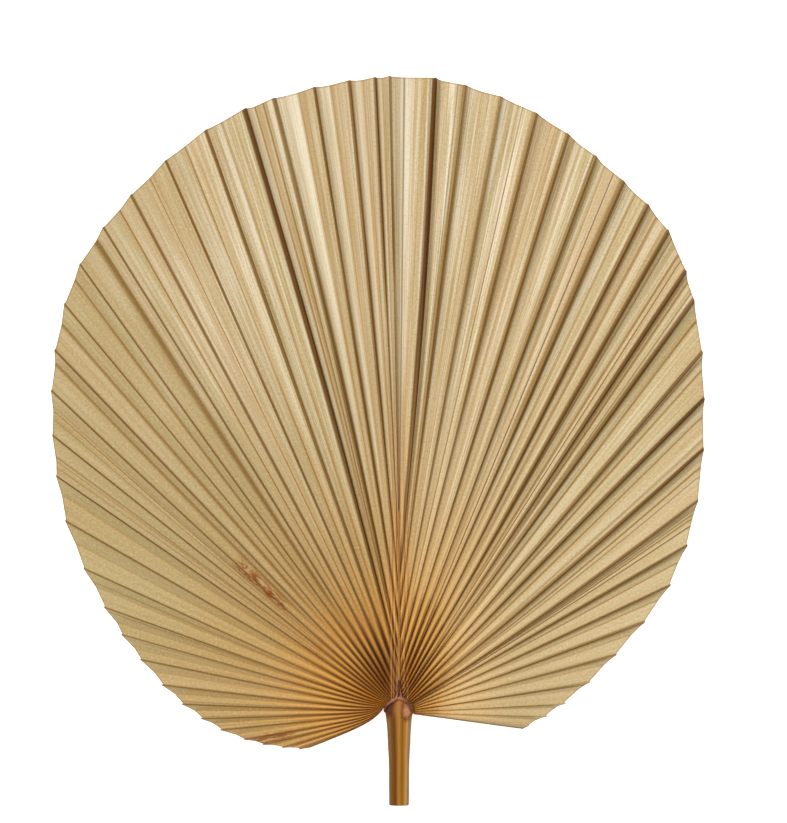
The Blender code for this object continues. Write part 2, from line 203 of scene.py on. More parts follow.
def fold_line(fold):
    """Points of the fold in plan, from the midrib or the collar to the rim."""
    end = polar(fold.angle, rim_radius(fold.angle) + fold.reach)
    rise = MIDRIB_RISE * math.exp(-abs(fold.angle) / MIDRIB_FADE)
    source = np.array((0.0, COLLAR_Y + rise))
    way = end - source
    past_rib = SLOT_HALF / abs(way[0])
    square = way @ way
    along = rise * way[1]
    inside = along * along - square * (rise * rise - COLLAR_RADIUS ** 2)
    past_collar = (math.sqrt(inside) - along) / square if inside > 0.0 else 0.0
    start = source + way * max(past_rib, past_collar)
    shares = (np.arange(ROWS + 1) / ROWS)[:, None] ** ROW_CROWDING
    gathered = GATHERED_FROM + (fold.angle - GATHERED_FROM) * GATHERED_SHARE
    lift = polar(max(gathered, fold.angle), COLLAR_RADIUS) - polar(fold.angle, COLLAR_RADIUS)
    lift = lift * np.exp(-shares * np.linalg.norm(end - start) / GATHERED_FADE)
    sideways = np.array((way[1], -way[0])) / math.sqrt(square)
    return start + (end - start) * shares + lift + sideways * fold.bow * np.sin(math.pi * shares)


def leaf_lines(folds):
    """Lines of all folds; a furrow starts midway between the crowns on both sides of it."""
    lines = [fold_line(fold) for fold in folds]
    for column in range(2, len(folds) - 1, 2):
        before, after = folds[column - 1].angle, folds[column + 1].angle
        if before < 0.0 < after:
            continue
        at_rim = (folds[column].angle - before) / (after - before)
        for row in range(ROWS):
            share = 0.5 + (at_rim - 0.5) * row / ROWS
            crowns = lines[column - 1][row], lines[column + 1][row]
            lines[column][row] = crowns[0] * (1.0 - share) + crowns[1] * share
    return lines


def mid_height(points, angle):
    """Middle of the sheet: level at the hub, and down to the floor at two rim angles."""
    lift = RIM_LIFT * math.sin(math.radians(abs(angle) - REST_ANGLE)) ** 2
    share = smoothstep(np.hypot(points[:, 0], points[:, 1]) / rim_radius(angle))
    return HUB_HEIGHT + (REST_HEIGHT + lift - HUB_HEIGHT) * share


def distance_to(line, points):
    """Distance in plan from each point to the neighbouring fold."""
    way = np.gradient(line, axis=0)
    way /= np.linalg.norm(way, axis=1)[:, None]
    gap = points - line
    return np.abs(way[:, 0] * gap[:, 1] - way[:, 1] * gap[:, 0])


folds = leaf_folds()
fold_lines = leaf_lines(folds)
fold_heights = []
fold_widths = []
for index, fold in enumerate(folds):
    beside = [near for near in (index - 1, index + 1) if 0 <= near < len(folds)]
    away = [distance_to(fold_lines[near], fold_lines[index]) for near in beside]
    half_pleat = sum(away) / len(away)
    rise = PLEAT_DEPTH * (1.0 - np.exp(-PLEAT_GROWTH * half_pleat / PLEAT_DEPTH))
    offset = fold.side * fold.depth * rise / 2.0
    fold_heights.append(mid_height(fold_lines[index], fold.angle) + offset)
    fold_widths.append(half_pleat)

hub_x = -(min(line[-1][0] for line in fold_lines) + max(line[-1][0] for line in fold_lines)) / 2.0
hub_y = -(STALK_END + max(line[-1][1] for line in fold_lines)) / 2.0
hub = np.array((hub_x, hub_y))


mark_chance = random.Random(MARK_SEED)
fold_marks = []
line_halves = []
for fold in folds:
    usual = by_angle(fold.angle, CROWN_MARKS if fold.side > 0 else FURROW_MARKS)
    fold_marks.append(min(usual * mark_chance.uniform(*MARK_SHARES) * DEEPER.get(fold.angle, 1.0), 1.0))
    usual = by_angle(fold.angle, USUAL_LINE) * (1.0 if fold.side > 0 else FURROW_LINE_SHARE)
    line_halves.append(LINE_HALVES.get(fold.angle, usual * mark_chance.uniform(*HALF_SHARES)))


def facet_columns(index):
    """Columns of points across the facet from one fold to the next, without the last."""
    left, right = folds[index], folds[index + 1]
    crown_first = left.side > 0
    crown, furrow = (index, index + 1) if crown_first else (index + 1, index)
    in_shade = crown_first == (folds[crown].angle > SHADE_TURNS_AT)
    step = by_angle(folds[crown].angle, STEP_SHARES) * in_shade
    falls = np.array(FACET_PLACES) * (1.0 - step) + np.array(STEP_FALL) * step
    drop = fold_heights[crown] - fold_heights[furrow]
    facet_width = (fold_widths[crown] + fold_widths[furrow]) / 2.0
    notched = crown_first if folds[crown].angle < 0.0 else not crown_first
    end_weight = (np.arange(ROWS + 1) / ROWS) ** NOTCH_POWER
    columns = []
    for place, fall, rate in zip(FACET_PLACES, falls, np.gradient(falls, FACET_PLACES)):
        plan = fold_lines[crown] * (1.0 - place) + fold_lines[furrow] * place
        if notched and 0.0 < place < 1.0:
            way = plan[-1] / np.linalg.norm(plan[-1])
            cut = NOTCH_DEPTH * folds[crown].reach * (1.0 - place)
            plan = plan - way * (end_weight * cut)[:, None]
        height = fold_heights[crown] * (1.0 - fall) + fold_heights[furrow] * fall
        width = fold_widths[crown] * (1.0 - place) + fold_widths[furrow] * place
        looks = {
            "pleat_width": width,
            # lee: how steeply the side away from the lamp falls, for the painted shade there
            "lee": np.maximum(rate - 1.0, 0.0) * drop / facet_width * in_shade,
            "crown_mark": np.full(ROWS + 1, fold_marks[crown]),
            "furrow_mark": np.full(ROWS + 1, fold_marks[furrow]),
            "crown_half": np.full(ROWS + 1, line_halves[crown]),
            "furrow_half": np.full(ROWS + 1, line_halves[furrow]),
        }
        across = index + place if crown_first else index + 1.0 - place
        columns.append((across, plan, height, looks))
    if not crown_first:
        columns.reverse()
    return columns[:-1] if index + 1 < len(folds) - 1 else columns


blade_columns = []
for index in range(len(folds) - 1):
    blade_columns += facet_columns(index)
across = np.array([column[0] for column in blade_columns])
plan = np.array([column[1] for column in blade_columns])
height = np.array([column[2] for column in blade_columns])
side_step = np.linalg.norm(np.diff(plan, axis=0), axis=2)
steepness = np.abs(np.diff(height, axis=0)) / np.maximum(side_step, SMALLEST_STEP)
steepness = np.maximum(np.vstack([steepness[:1], steepness]), np.vstack([steepness, steepness[-1:]]))
thickness = BLADE_THICKNESS * np.hypot(1.0, np.minimum(steepness, STEEPEST))
from_hub = np.hypot(plan[:, :, 0], plan[:, :, 1])
reach = smoothstep(from_hub / from_hub[:, -1:])
height -= (height - thickness / 2.0).min() * reach
room = cad_box[1][2] / MM / (height + thickness / 2.0).max()
height *= 1.0 - (1.0 - min(room, 1.0)) * reach

column_count, row_count = height.shape
upper = np.minimum(height + thickness / 2.0, cad_box[1][2] / MM)
lower = np.maximum(height - thickness / 2.0, 0.0)
top = np.dstack([plan + hub, upper]).reshape(-1, 3)
under = np.dstack([plan + hub, lower]).reshape(-1, 3)
faces = []
below = column_count * row_count
for column in range(column_count - 1):
    for row in range(row_count - 1):
        a = column * row_count + row
        b = a + row_count
        faces.append((a, b, b + 1, a + 1))
        faces.append((below + a + 1, below + b + 1, below + b, below + a))
border = [(column_count - 1) * row_count + row for row in range(row_count)]
border += [column * row_count + row_count - 1 for column in range(column_count - 2, -1, -1)]
border += list(range(row_count - 2, -1, -1))
border += [column * row_count for column in range(1, column_count - 1)]
for a, b in zip(border, border[1:] + border[:1]):
    faces.append((a, below + a, below + b, b))

blade_mesh = bpy.data.meshes.new("pleated_blade")
blade_mesh.from_pydata((np.vstack([top, under]) * MM).tolist(), [], faces)
corner_points = np.empty(len(blade_mesh.loops), dtype=np.int32)
blade_mesh.loops.foreach_get("vertex_index", corner_points)
column_of_point = np.tile(np.repeat(np.arange(column_count), row_count), 2)
pleat_map = np.column_stack([across[column_of_point], np.tile(from_hub.ravel(), 2) / MM_PER_TENTH])
blade_mesh.uv_layers.new(name="pleat").data.foreach_set("uv", pleat_map[corner_points].ravel())

# Flat map for a picture of the whole blade: the upper face large, the underside small.
MAP_MARGIN = 0.005
UPPER_SIZE, UNDER_SIZE = 0.65, 0.33
UNDER_PLACE = (0.665, MAP_MARGIN)
low = top.min(axis=0)
size = (top.max(axis=0) - low)[:2].max()
flat_top = (top[:, :2] - low[:2]) / size * UPPER_SIZE + MAP_MARGIN
flat_under = (under[:, :2] - low[:2]) / size * UNDER_SIZE + UNDER_PLACE
flat_map = np.vstack([flat_top, flat_under])[corner_points]
blade_mesh.uv_layers.new(name="OFBake").data.foreach_set("uv", flat_map.ravel())
looks = {name: np.array([column[3][name] for column in blade_columns]) for name in blade_columns[0][3]}
looks["from_rim"] = from_hub[:, -1:] - from_hub
for name, values in looks.items():
    layer = blade_mesh.attributes.new(name, "FLOAT", "POINT")
    layer.data.foreach_set("value", np.tile(values.ravel(), 2))
blade_mesh.polygons.foreach_set("use_smooth", [True] * len(blade_mesh.polygons))
blade_mesh.set_sharp_from_angle(angle=math.radians(CREASE_ANGLE))
blade = bpy.data.objects.new("pleated_blade", blade_mesh)
bpy.context.scene.collection.objects.link(blade)


def dye(red, green, blue):
    """Colour from the 0 to 255 values that a paint chart gives."""
    shades = [value / 255.0 for value in (red, green, blue)]
    linear = [s / 12.92 if s <= 0.04045 else ((s + 0.055) / 1.055) ** 2.4 for s in shades]
    return (*linear, 1.0)


class Finish:
    """A node material, with short calls for the steps that the finishes below share."""

    def __init__(self, name):
        self.material = bpy.data.materials.new(name)
        self.material.use_nodes = True
        self.tree = self.material.node_tree
        self.shader = self.tree.nodes["Principled BSDF"]
        self.shade = None

    def put(self, socket, value):
        if isinstance(value, bpy.types.NodeSocket):
            self.tree.links.new(value, socket)
        else:
            socket.default_value = value

    def node(self, kind, **settings):
        made = self.tree.nodes.new(kind)
        for name, value in settings.items():
            setattr(made, name, value)
        return made

    def math(self, operation, *values):
        made = self.node("ShaderNodeMath", operation=operation)
        for socket, value in zip(made.inputs, values):
            self.put(socket, value)
        return made.outputs[0]

    def spread(self, value, low, high, to_low=0.0, to_high=1.0):
        made = self.node("ShaderNodeMapRange", interpolation_type="SMOOTHSTEP")
        for name, given in zip(("Value", "From Min", "From Max", "To Min", "To Max"),
                               (value, low, high, to_low, to_high)):
            self.put(made.inputs[name], given)
        return made.outputs[0]

    def noise(self, vector, detail=2.0, roughness=0.5):
        made = self.node("ShaderNodeTexNoise")
        self.put(made.inputs["Vector"], vector)
        self.put(made.inputs["Scale"], 1.0)
        self.put(made.inputs["Detail"], detail)
        self.put(made.inputs["Roughness"], roughness)
        return made.outputs["Fac"]

    def product(self, *values):
        made = values[0]
        for value in values[1:]:
            made = self.math("MULTIPLY", made, value)
        return made

    def offset(self, value, middle, scale):
        return self.math("MULTIPLY", self.math("SUBTRACT", value, middle), scale)

    def distance(self, value, middle):
        return self.math("ABSOLUTE", self.math("SUBTRACT", value, middle))

    def scaled(self, *parts, layer=0.0):
        """Point from values with a scale for each, on a layer of the noise of its own."""
        made = self.node("ShaderNodeCombineXYZ")
        made.inputs["Z"].default_value = layer
        for socket, (value, scale) in zip(made.inputs, parts):
            self.put(socket, self.math("MULTIPLY", value, scale))
        return made.outputs[0]

    def chance(self, value):
        made = self.node("ShaderNodeTexWhiteNoise", noise_dimensions="1D")
        self.put(made.inputs["W"], value)
        return made.outputs["Value"]

    def mix(self, amount, under, over, blend="MIX"):
        made = self.node("ShaderNodeMix", data_type="RGBA", blend_type=blend)
        self.put(made.inputs["Factor"], amount)
        self.put(made.inputs[6], under)
        self.put(made.inputs[7], over)
        return made.outputs[2]

    def coat(self, colour, *amounts, blend="MIX"):
        """Lay a colour over the shade so far, as much as the product of the amounts."""
        self.shade = self.mix(self.product(*amounts), self.shade, colour, blend)

    def bump(self, level, distance, strength):
        made = self.node("ShaderNodeBump")
        self.put(made.inputs["Strength"], strength)
        self.put(made.inputs["Distance"], distance)
        self.put(made.inputs["Height"], level)
        self.put(self.shader.inputs["Normal"], made.outputs["Normal"])

    def cover(self, mesh, roughness, gloss):
        self.put(self.shader.inputs["Base Color"], self.shade)
        self.put(self.shader.inputs["Roughness"], roughness)
        self.shader.inputs["Specular IOR Level"].default_value = gloss
        mesh.materials.append(self.material)


OLIVE_STRAW, CREAM_STRAW = dye(180, 162, 114), dye(200, 183, 142)
LEFT_GOLD, RIGHT_GOLD, ORANGE = dye(188, 156, 98), dye(222, 192, 138), dye(206, 154, 76)
HUB_BROWN, PATCH_BROWN = dye(168, 102, 22), dye(92, 48, 20)
TAN_FIBRE, ROSY_FIBRE, SILVER_FIBRE_AND_SHEEN = dye(160, 126, 70), dye(206, 172, 134), dye(236, 226, 204)
TAN_FACET, ROSY_FACET = dye(176, 142, 90), dye(208, 176, 142)
DARK_SPECKLE, LIGHT_SPECKLE = dye(166, 138, 92), dye(222, 204, 166)
VEIN_BROWN, PAINTED_LIT_SIDE, PAINTED_SHADED_SIDE = dye(118, 84, 44), dye(226, 216, 188), dye(164, 132, 76)
FURROW_HIGHLIGHT, GLOW, LEE_SHADE = dye(224, 172, 92), dye(200, 158, 102), dye(202, 178, 128)
# Crown lines: brown, with painted shade below the crowns; furrow lines: painted shade in the valleys.
FAINT_CROWN_LINE_AND_SHADE, FULL_CROWN_LINE_AND_SHADE = dye(216, 201, 164), dye(122, 90, 42)
FAINT_FURROW_SHADE, FULL_FURROW_SHADE = dye(223, 209, 179), dye(142, 115, 66)
DARK_THREAD, LIGHT_THREAD = dye(148, 92, 36), dye(228, 174, 108)
FREE_EDGE, CUT_RIM, RUST = dye(104, 66, 32), dye(140, 96, 54), dye(136, 70, 24)

# Where the colours of the hub begin to fade and end, in tenths of a metre from it. On the
# right they end closer to it, and beside the midrib they reach further out.
BROWN_ENDS = (0.1, 0.45)
ORANGE_ENDS = (0.3, 0.85)
GOLD_ENDS = (0.6, 1.7)
PATCH_ENDS = (0.17, 0.6)
RIGHT_FOLDS = (68.0, 98.0)
RIGHT_STRETCH = 2.3
MIDRIB_FOLDS = (1.0, 9.0)
MIDRIB_STRETCH = 0.75

# Strong veins and stains: angle and depth, and for a stain also its half width in folds
# and its two ends in tenths of a metre from the hub.
STRONG_VEINS = ((-55.1, 0.5), (-12.9, 0.8), (0.5, 1.0), (49.8, 0.4), (57.7, 0.5))
STAINS = ((-48.6, 0.95, 1.1, 0.8, 1.26), (-106.7, 0.7, 2.2, 0.62, 0.96))

straw = Finish("dried_straw")
pleats = straw.node("ShaderNodeSeparateXYZ")
straw.put(pleats.inputs[0], straw.node("ShaderNodeUVMap", uv_map="pleat").outputs["UV"])
fold_number, along = pleats.outputs["X"], pleats.outputs["Y"]
names = ("pleat_width", "lee", "crown_mark", "furrow_mark", "crown_half", "furrow_half", "from_rim")
width, in_lee, crown_mark, furrow_mark, crown_half, furrow_half, from_rim = (
    straw.node("ShaderNodeAttribute", attribute_name=name).outputs["Fac"] for name in names
)
spot = straw.node("ShaderNodeSeparateXYZ")
straw.put(spot.inputs[0], straw.node("ShaderNodeTexCoord").outputs["Object"])
right, up = spot.outputs["X"], spot.outputs["Y"]
fold_angles = [fold.angle for fold in folds]
crown_fold = {angle: float(number) for number, angle in enumerate(fold_angles)}


def by_crown(start, end, *levels):
    """Value that changes from the fold at one angle to the fold at another."""
    return straw.spread(fold_number, crown_fold[start], crown_fold[end], *levels)


# Where a point lies between crown and furrow, and how many millimetres it is from each.
share = straw.math("SUBTRACT", straw.math("MODULO", fold_number, 2.0), 1.0)
from_crown = straw.math("ABSOLUTE", straw.math("MULTIPLY", share, width))
from_furrow = straw.math("SUBTRACT", width, from_crown)
facet_number = straw.math("FLOOR", fold_number)

# Broad colour: dark brown at the hub, then orange and gold, then olive straw on the left
# and cream at the top. Left of the midrib there is a darker patch close to the hub.
cloud = straw.noise(straw.scaled((right, 9.0), (up, 9.0)))
from_middle = straw.distance(fold_number, crown_fold[-0.9])
reach = straw.product(along, straw.spread(fold_number, *RIGHT_FOLDS, 1.0, RIGHT_STRETCH),
                      straw.spread(from_middle, *MIDRIB_FOLDS, MIDRIB_STRETCH, 1.0))
slant = straw.math("ADD", right, straw.math("MULTIPLY", up, 0.55))
slant = straw.math("ADD", slant, straw.offset(cloud, 0.5, 0.25))
paleness = straw.product(straw.spread(slant, -0.15, 0.06), straw.spread(right, 0.03, 0.14, 1.0, 0.5))
straw.shade = straw.mix(paleness, OLIVE_STRAW, CREAM_STRAW)
gold = straw.mix(by_crown(-23.5, 41.4), LEFT_GOLD, RIGHT_GOLD)
straw.coat(gold, straw.spread(reach, *GOLD_ENDS, 1.0, 0.0))
straw.coat(ORANGE, straw.spread(reach, *ORANGE_ENDS, 1.0, 0.0))
straw.coat(HUB_BROWN, straw.spread(reach, *BROWN_ENDS, 1.0, 0.0))
straw.coat(PATCH_BROWN, by_crown(-57.1, -32.2), by_crown(-11.8, -2.2, 1.0, 0.0),
           straw.spread(along, *PATCH_ENDS, 0.6, 0.0))

# Fibres along the leaf, fine and broad, in tan, silver and pink, most of all at the tip,
# a little difference from facet to facet, and a fine speckle over all. The silver streaks,
# strongest on the pale top and right, are partly the fibres' own tone and partly a painted
# sheen.
fine = straw.noise(straw.scaled((fold_number, 13.0), (along, 1.1)), 4.0, 0.65)
broad = straw.noise(straw.scaled((fold_number, 3.2), (along, 0.5), layer=7.0))
rosy = straw.noise(straw.scaled((fold_number, 5.0), (along, 0.7), layer=19.0))
grain = straw.math("ADD", straw.math("MULTIPLY", fine, 0.55), straw.math("MULTIPLY", broad, 0.45))
past_hub = straw.spread(reach, 0.15, 0.7, 0.15, 1.0)
to_tip = straw.product(straw.spread(up, -0.1, 0.13, 0.4, 1.0), past_hub)
straw.coat(TAN_FIBRE, straw.spread(grain, 0.34, 0.5, 0.8, 0.0), to_tip)
straw.coat(ROSY_FIBRE, straw.spread(rosy, 0.52, 0.66, 0.0, 0.4), to_tip)
# Silver streaks: pale fibres with a painted sheen laid over them.
straw.coat(SILVER_FIBRE_AND_SHEEN, straw.spread(grain, 0.47, 0.6), straw.spread(paleness, 0.0, 1.0, 0.15, 1.0),
           to_tip, straw.spread(along, 0.4, 1.5), 0.95)
straw.coat(TAN_FACET, straw.spread(straw.chance(facet_number), 0.0, 1.0, 0.0, 0.22), past_hub)
rosy_facet = straw.chance(straw.math("ADD", facet_number, 0.5))
straw.coat(ROSY_FACET, straw.spread(rosy_facet, 0.5, 1.0, 0.0, 0.28), to_tip)
speckle = straw.noise(straw.scaled((right, 750.0), (up, 750.0)), 2.0, 0.7)
straw.coat(DARK_SPECKLE, straw.spread(speckle, 0.5, 0.72, 0.0, 0.45), past_hub)
straw.coat(LIGHT_SPECKLE, straw.spread(speckle, 0.5, 0.3, 0.0, 0.35), past_hub)

# Fine veins: one or none in each facet at a place of its own, and a few strong ones.
vein_place = straw.spread(straw.chance(straw.math("ADD", facet_number, 0.3)), 0.0, 1.0, 0.25, 0.75)
from_vein = straw.product(straw.distance(straw.math("FRACT", fold_number), vein_place), width)
vein_depth = straw.spread(straw.chance(straw.math("ADD", facet_number, 0.7)), 0.3, 1.0, 0.0, 0.5)
vein = straw.product(straw.spread(from_vein, 0.1, 0.5, 1.0, 0.0), vein_depth, by_crown(3.4, 20.0, 1.0, 1.9))
for angle, depth in STRONG_VEINS:
    vein_fold = float(np.interp(angle, fold_angles, range(len(folds))))
    from_vein = straw.product(straw.distance(fold_number, vein_fold), width)
    vein = straw.math("MAXIMUM", vein, straw.spread(from_vein, 0.2, 0.7, depth, 0.0))
straw.coat(VEIN_BROWN, vein)

# Left of the midrib, near the tip, light and shade are painted on the pleats: a silver
# painted highlight right of each crown and brown painted shade left of it.
near_tip = straw.product(by_crown(-18.8, -13.8), by_crown(-0.9, 3.4, 1.0, 0.0),
                         straw.spread(along, 0.9, 2.0))
straw.coat(PAINTED_LIT_SIDE, near_tip, straw.spread(share, 0.0, 0.5, 0.0, 0.4))
straw.coat(PAINTED_SHADED_SIDE, near_tip, straw.spread(share, 0.0, -0.6, 0.0, 0.4))

# A line on the crown and one in the furrow: how wide, and how crisp at its sides. The
# crown's is brown with painted shade below the pinched crown, and near the hub it widens
# into painted shade in the gaps between the tight pleats. The furrow's is painted shade
# in the valley, and ends before the hub.
narrow = straw.spread(reach, 0.3, 1.0, 1.0, 0.0)
at_hub = straw.math("MULTIPLY", narrow, 1.8)
widest = straw.product(width, straw.spread(reach, 0.3, 1.1, 0.68, 0.36))
crispness = straw.product(straw.spread(along, 0.3, 1.2, 0.25, 0.5), by_crown(-40.4, -18.8, 0.1, 1.0))
lines = []
for distance, half in ((from_crown, crown_half), (from_furrow, furrow_half)):
    half = straw.math("MAXIMUM", half, at_hub)
    share_of_line = straw.math("DIVIDE", distance, straw.math("MINIMUM", half, widest))
    lines.append(straw.spread(share_of_line, crispness, 1.15, 1.0, 0.0))
crown_line_and_shade = lines[0]
furrow_shade_line = straw.product(lines[1], straw.spread(width, 1.5, 4.0))

# How dark the line on the crown is: less beside the midrib, away from the rim at the
# sides and close to the hub on the right, but full in the brown at the hub, where the
# broad lines are painted shade in the gaps between the tight pleats.
by_midrib = straw.product(straw.spread(along, 1.9, 2.9, 0.55, 0.0), by_crown(-4.6, -2.2),
                          straw.spread(fold_number, crown_fold[-0.9] + 0.5, crown_fold[3.4], 1.0, 0.0))
at_sides = straw.spread(from_middle, 14.0, 26.0, 1.0, 0.7)
near_hub = by_crown(-28.1, 3.4, 0.9, 0.3)
hub_gap_shade = straw.product(straw.spread(reach, 0.26, 0.68, 1.0, 0.1),
                         straw.spread(fold_number, 78.0, RIGHT_FOLDS[1], 1.0, 0.6))
crown_mark = straw.product(straw.math("SUBTRACT", crown_mark, by_midrib),
                           straw.spread(from_rim, 30.0, 200.0, 1.0, at_sides),
                           straw.spread(along, 0.6, 2.6, near_hub, 1.0))
crown_mark = straw.math("MAXIMUM", crown_mark, hub_gap_shade)

# A painted gold highlight in the furrows near the hub, a faint warm tone beside both
# lines, painted brown shade down the steep side of each crown that faces away from the
# lamp, and over them the lines: brown on the crowns with painted shade below them, and
# painted shade in the furrows.
# Painted highlight: gold on the furrows near the hub, where they stand as bright ridges.
furrow_highlight_mask = straw.spread(straw.math("DIVIDE", from_furrow, width), 0.1, 0.5, 0.75, 0.0)
straw.coat(FURROW_HIGHLIGHT, furrow_highlight_mask, straw.spread(along, 0.15, 0.45, 0.1, 1.0), narrow)
glow = straw.math("ADD", straw.spread(from_crown, 0.5, 2.2, 1.0, 0.0),
                  straw.spread(from_furrow, 0.5, 2.2, 1.0, 0.0))
straw.coat(GLOW, glow, straw.spread(width, 1.2, 3.5, 0.0, 0.12))
# Painted shade: brown laid on the steep sides that face away from the key lamp.
straw.coat(LEE_SHADE, straw.spread(in_lee, 0.1, 0.8, 0.0, 0.9), blend="MULTIPLY")
# Painted shade: the crown lines in part, the furrow lines wholly.
for line, mark, faint, full in ((crown_line_and_shade, crown_mark, FAINT_CROWN_LINE_AND_SHADE, FULL_CROWN_LINE_AND_SHADE),
                                (furrow_shade_line, furrow_mark, FAINT_FURROW_SHADE, FULL_FURROW_SHADE)):
    straw.coat(straw.mix(mark, faint, full), line, straw.spread(mark, 0.0, 0.3), blend="MULTIPLY")

# Thin orange and brown threads beside the midrib, which fade upwards, brown free edges
# and rim, and two rusty stains: a streak along one crown and a patch low on the left.
beside = straw.distance(right, hub_x * MM)
above = straw.math("SUBTRACT", up, hub_y * MM)
threads = straw.noise(straw.scaled((right, 1100.0), (up, 9.0)))
by_rib = straw.product(straw.spread(beside, 0.003, 0.008, 1.0, 0.0),
                       straw.spread(above, 0.08, 0.21, 0.8, 0.0))
straw.coat(DARK_THREAD, by_rib, straw.spread(threads, 0.38, 0.5, 0.8, 0.0))
straw.coat(LIGHT_THREAD, by_rib, straw.spread(threads, 0.5, 0.62, 0.0, 0.8))
edge = straw.math("MINIMUM", fold_number, straw.math("SUBTRACT", len(folds) - 1.0, fold_number))
straw.coat(FREE_EDGE, straw.spread(straw.product(edge, width), 0.4, 1.4, 0.85, 0.0))
straw.coat(CUT_RIM, straw.spread(from_rim, 0.3, 1.3, 0.5, 0.0))
blots = straw.noise(straw.scaled((fold_number, 4.0), (along, 16.0), layer=5.0), 3.0, 0.7)
for angle, depth, half_folds, near, far in STAINS:
    across_stain = straw.distance(fold_number, crown_fold[angle])
    along_stain = straw.distance(along, (near + far) / 2.0)
    straw.coat(RUST, straw.spread(across_stain, half_folds * 0.3, half_folds, depth, 0.0),
               straw.spread(along_stain, (far - near) * 0.35, (far - near) * 0.5, 1.0, 0.0),
               straw.spread(blots, 0.42, 0.56))
straw.bump(grain, 0.0004, 0.5)
straw.cover(blade_mesh, straw.spread(grain, 0.35, 0.65, 0.6, 0.45), 0.12)
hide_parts("leaf_blade")
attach(blade, "root")


# The stalk: the end of the leaf's stem, woody, a little flattened, and cut straight
# across. Fibres and two shallow channels run down it. Its round head carries the blade,
# and it goes on under the fan as a keel, whose top shows as the midrib in the middle.

STALK = (
    (STALK_END, 5.9, 1.5, 6.3), (-52.0, 6.0, 1.1, 6.6), (-42.0, 6.0, 0.7, 6.9),
    (-34.0, 6.3, 0.3, 7.1), (-27.0, 6.7, 0.0, 7.3), (-20.0, 7.0, 0.0, 7.5),
    (-14.0, 7.5, 0.0, 7.6), (COLLAR_Y, 8.0, 0.0, 7.6),
)
STALK_CROWN = 1.0
CROWN_SIDE = 0.45
UPPER_SHARE = 0.9
FLAT_HALF = 2.4
HEAD_RADIUS = 8.1
HEAD_SHARE = 0.99
HEAD_TURNS = range(4, 86, 4)
RIB_HALF = 0.6
RIB_LENGTH = 108.0
RIB_RISE = 0.9
RIB_EDGE = 0.25
RIB_STATIONS = 9
KEEL_END = 118.0
KEEL_HALF_HUB = 7.2
KEEL_HALF_TIP = 1.2
KEEL_DEPTH_TIP = 1.3
KEEL_CLEARANCE = 1.9
KEEL_CLEARANCE_GROWTH = 0.022
CORNER_CUTS = 3
STATION_STEP = 1.2
HEAD_STATION_STEP = 0.3
CUT_BEVEL = 0.4
TOP_FADE = 2.0
CHANNEL_DEPTH = 0.3
CHANNEL_END = -6.0
CHANNEL_FADE = 10.0
KNUCKLE = (4.0, -7.4)
KNUCKLE_RADIUS = 2.2
KNUCKLE_HEIGHT = 0.45

# Shares of the half width and of the depth for the points of the section's side, and the
# channels on top, by place across the stalk, half width and share of the depth.
FLAT_SHARE = 0.4
FLANK = (0.78, 0.16)
WIDEST_AT = 0.5
SHOULDER_SHARE = 0.96
SHOULDER_STEP = 0.1
TOP_SHARE = 0.5
CHANNELS = ((-0.5, 0.16, 1.0), (0.42, 0.12, 0.5))


def stalk_section(half, under, shoulder, upper_half, upper_side, top):
    """Section of the stalk as (across, height), counter-clockwise from the underside."""
    depth = shoulder - under
    right_half = (
        (min(FLAT_HALF, half * FLAT_SHARE), under),
        (half * FLANK[0], under + depth * FLANK[1]),
        (half, under + depth * WIDEST_AT),
        (half * SHOULDER_SHARE, shoulder),
        (upper_half, shoulder + SHOULDER_STEP),
        (upper_half, upper_side),
        (upper_half * TOP_SHARE, top),
    )
    return list(right_half) + [(-x, z) for x, z in reversed(right_half)]


def keel_section(y, upper_half, upper_side, top):
    share = max(y - COLLAR_Y, 0.0) / (RIB_LENGTH - COLLAR_Y)
    half = KEEL_HALF_HUB + (KEEL_HALF_TIP - KEEL_HALF_HUB) * share
    middle = mid_height(np.array(((0.0, y),)), 0.0)[0]
    shoulder = middle - KEEL_CLEARANCE - KEEL_CLEARANCE_GROWTH * max(y, 0.0)
    under = (shoulder - KEEL_DEPTH_TIP) * smoothstep(share)
    return stalk_section(half, under, shoulder, upper_half, upper_side, top)


def rounded(ring):
    """The closed ring with its corners cut off a few times over."""
    for _ in range(CORNER_CUTS):
        after = np.roll(ring, -1, axis=0)
        ring = np.stack((ring * 0.75 + after * 0.25, ring * 0.25 + after * 0.75), axis=1)
        ring = ring.reshape(-1, 2)
    return ring


stations = []
for y, half, under, shoulder in STALK:
    upper = half * UPPER_SHARE if y < COLLAR_Y else HEAD_RADIUS * HEAD_SHARE
    side = shoulder + STALK_CROWN * CROWN_SIDE
    ring = stalk_section(half, under, shoulder, upper, side, shoulder + STALK_CROWN)
    stations.append((y, ring))
head_shoulder = STALK[-1][3]
for degrees in HEAD_TURNS:
    turn = math.radians(degrees)
    y = COLLAR_Y + HEAD_RADIUS * math.sin(turn)
    upper = HEAD_RADIUS * math.cos(turn)
    side = head_shoulder + STALK_CROWN * CROWN_SIDE
    stations.append((y, keel_section(y, upper, side, head_shoulder + STALK_CROWN)))
rib_foot = COLLAR_Y + math.sqrt(HEAD_RADIUS ** 2 - RIB_HALF ** 2)
for y in np.linspace(rib_foot, RIB_LENGTH, RIB_STATIONS):
    top = mid_height(np.array(((0.0, y),)), 0.0)[0] + RIB_RISE * (RIB_LENGTH - y) / (RIB_LENGTH - rib_foot)
    stations.append((y, keel_section(y, RIB_HALF, top - RIB_EDGE, top)))
# Past the midrib's end the keel goes on alone, with a low top.
rib_end = stations[-1][1]
shoulder = max(z for x, z in rib_end[:4])
for y, low_side, low_top in ((RIB_LENGTH + 1.5, 0.2, 0.3), (KEEL_END, 0.1, 0.2)):
    stations.append((y, keel_section(y, RIB_HALF, shoulder + low_side, shoulder + low_top)))

